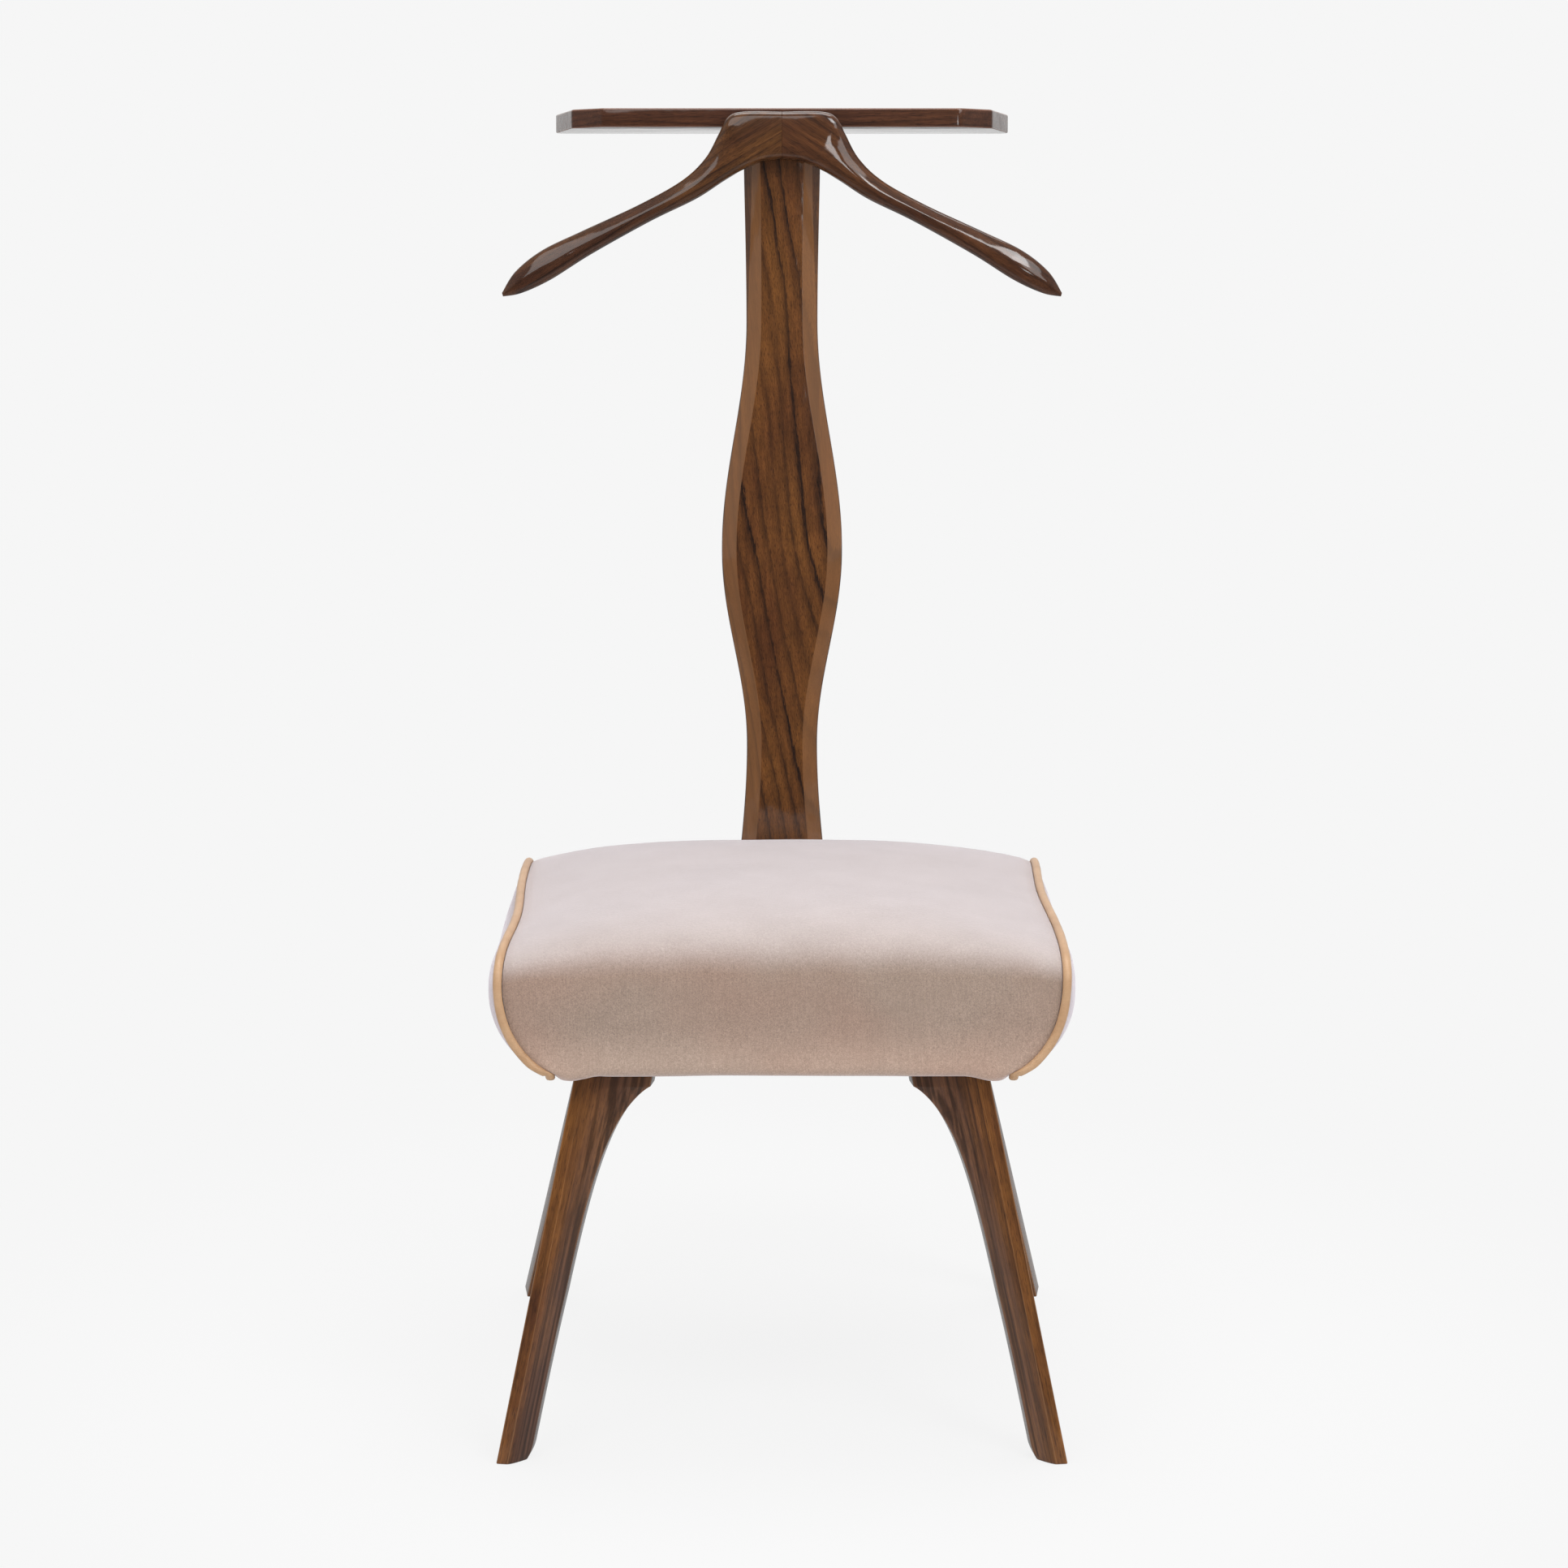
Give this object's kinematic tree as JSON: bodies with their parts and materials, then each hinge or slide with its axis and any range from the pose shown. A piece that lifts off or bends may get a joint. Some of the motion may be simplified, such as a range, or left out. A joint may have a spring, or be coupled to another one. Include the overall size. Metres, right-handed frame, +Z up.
{
  "type": "clothes valet",
  "caption": "Upholstered clothes valet: padded seat with piped side seams on splayed legs, shaped back post carrying a coat hanger and a small shelf.",
  "frame": {"origin": "the floor under the middle of the object's box in plan", "axes": "+Z up; -Y towards the front, where the seat is and to which the hanger's tips swing; +X to the right seen from the front"},
  "size_m": [0.48, 0.523, 1.052],
  "materials": {
    "walnut": "glossy lacquer over walnut stain",
    "beech": "raw",
    "velvet": "short velvet pile",
    "piping_leather": "smooth, slightly glossy",
    "steel": "zinc plated",
    "webbing": "woven",
    "hessian": "coarse weave",
    "foam": "open foam",
    "dust_cloth": "thin non-woven cloth"
  },
  "bodies": {
    "root": {"hanger_half_left": "walnut", "hanger_half_right": "walnut", "hanger_dowels": "beech", "hanger_screws": "steel", "back_post": "walnut", "shelf_board": "walnut", "shelf_dowels": "beech", "rail_front": "beech", "rail_rear": "beech", "rail_left": "beech", "rail_right": "beech", "rail_dowels": "beech", "corner_block_front_left": "beech", "corner_block_front_right": "beech", "corner_block_rear_left": "beech", "corner_block_rear_right": "beech", "webbing_lengthways": "webbing", "webbing_crossways": "webbing", "hessian_panel": "hessian", "seat_foam": "foam", "edge_padding": "foam", "velvet_panel": "velvet", "side_panel_left": "velvet", "side_panel_right": "velvet", "piping_left": "piping_leather", "piping_right": "piping_leather", "dust_cover": "dust_cloth", "front_leg_left": "walnut", "front_leg_right": "walnut", "rear_leg_left": "walnut", "rear_leg_right": "walnut", "leg_dowels": "beech", "leg_screws": "steel", "post_bolts": "steel", "post_washers": "steel", "post_nuts": "steel"}
  },
  "joints": []
}
